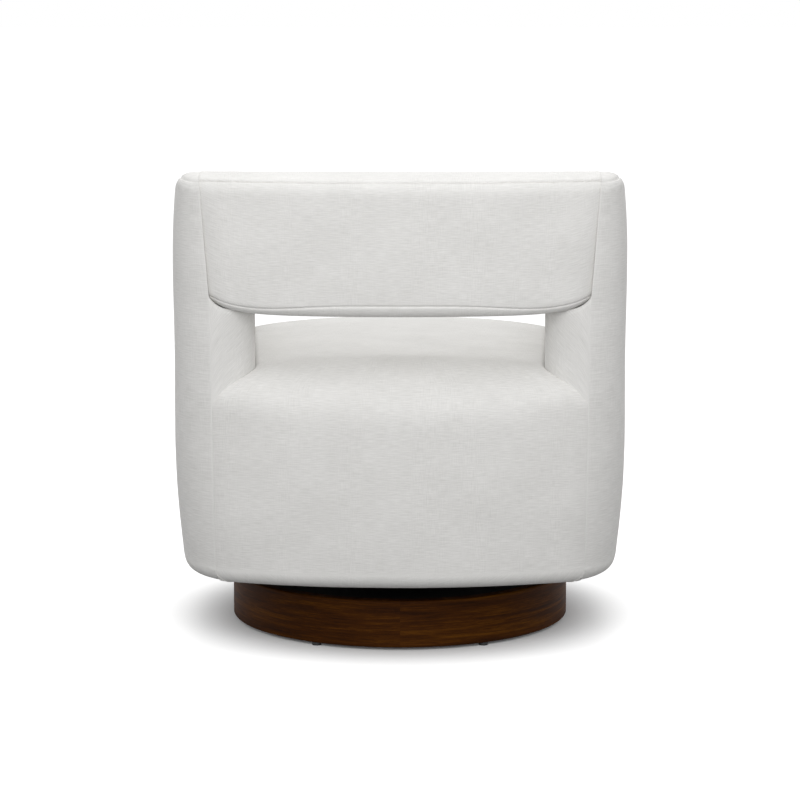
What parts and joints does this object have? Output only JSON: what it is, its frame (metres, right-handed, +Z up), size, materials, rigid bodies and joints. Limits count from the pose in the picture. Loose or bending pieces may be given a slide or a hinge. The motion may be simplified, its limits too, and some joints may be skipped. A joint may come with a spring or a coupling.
{
  "type": "swivel barrel chair",
  "caption": "Upholstered barrel-shaped armchair with an open gap under the backrest, turning freely on a round wooden plinth.",
  "frame": {"origin": "on the floor under the middle of the round plinth", "axes": "+Z up along the swivel axis, +X to the sitter's left, the open back faces +Y and the sitter looks along -Y"},
  "size_m": [0.7386, 0.7308, 0.77],
  "materials": {
    "walnut_veneer": "satin lacquered walnut veneer",
    "plywood": "raw birch plywood",
    "beech": "raw kiln-dried hardwood",
    "hardboard": "smooth hardboard",
    "nylon": "moulded nylon",
    "pressed_steel": "black powder coat on pressed steel",
    "bearing_steel": "polished bearing steel",
    "cage_plastic": "natural acetal",
    "zinc_steel": "zinc-plated steel",
    "webbing": "woven elastic webbing",
    "foam": "open-cell polyurethane foam",
    "upholstery": "heathered ivory linen-look weave",
    "dust_cloth": "black non-woven cloth"
  },
  "bodies": {
    "base": {"plinth_ring": "walnut_veneer", "plinth_top_board": "plywood", "plinth_brace_side_to_side": "beech", "plinth_brace_front_to_back": "beech", "plinth_glue_blocks": "beech", "floor_glides": "nylon", "swivel_lower_plate": "pressed_steel", "lower_plate_screws": "zinc_steel"},
    "race": {"bearing_balls": "bearing_steel", "ball_cage": "cage_plastic"},
    "chair": {"swivel_upper_plate": "pressed_steel", "king_pin": "zinc_steel", "upper_plate_bolts": "zinc_steel", "tee_nuts": "zinc_steel", "base_board": "plywood", "seat_rail_front": "beech", "seat_rail_rear": "beech", "seat_rail_left": "beech", "seat_rail_right": "beech", "corner_blocks": "beech", "seat_webbing_long": "webbing", "seat_webbing_cross": "webbing", "back_rail_lower": "beech", "back_rail_upper": "beech", "back_slats": "plywood", "arm_post_rear_left": "beech", "arm_post_front_left": "beech", "arm_panel_left": "hardboard", "arm_rail_left": "beech", "arm_post_rear_right": "beech", "arm_post_front_right": "beech", "arm_panel_right": "hardboard", "arm_rail_right": "beech", "seat_foam": "foam", "seat_cover": "upholstery", "left_arm_foam": "foam", "left_arm_cover": "upholstery", "right_arm_foam": "foam", "right_arm_cover": "upholstery", "back_foam": "foam", "back_cover": "upholstery", "dust_cover": "dust_cloth"}
  },
  "joints": [
    {"name": "swivel", "type": "hinge", "parent": "base", "child": "chair", "pos_m": [0, 0, 0.097], "axis": [0, 0, 1], "continuous": true},
    {"name": "race_turn", "type": "hinge", "parent": "base", "child": "race", "pos_m": [0, 0, 0.097], "axis": [0, 0, 1], "continuous": true}
  ],
  "couplings": [
    {"joint": "race_turn", "follows": "swivel", "ratio": 0.5}
  ]
}
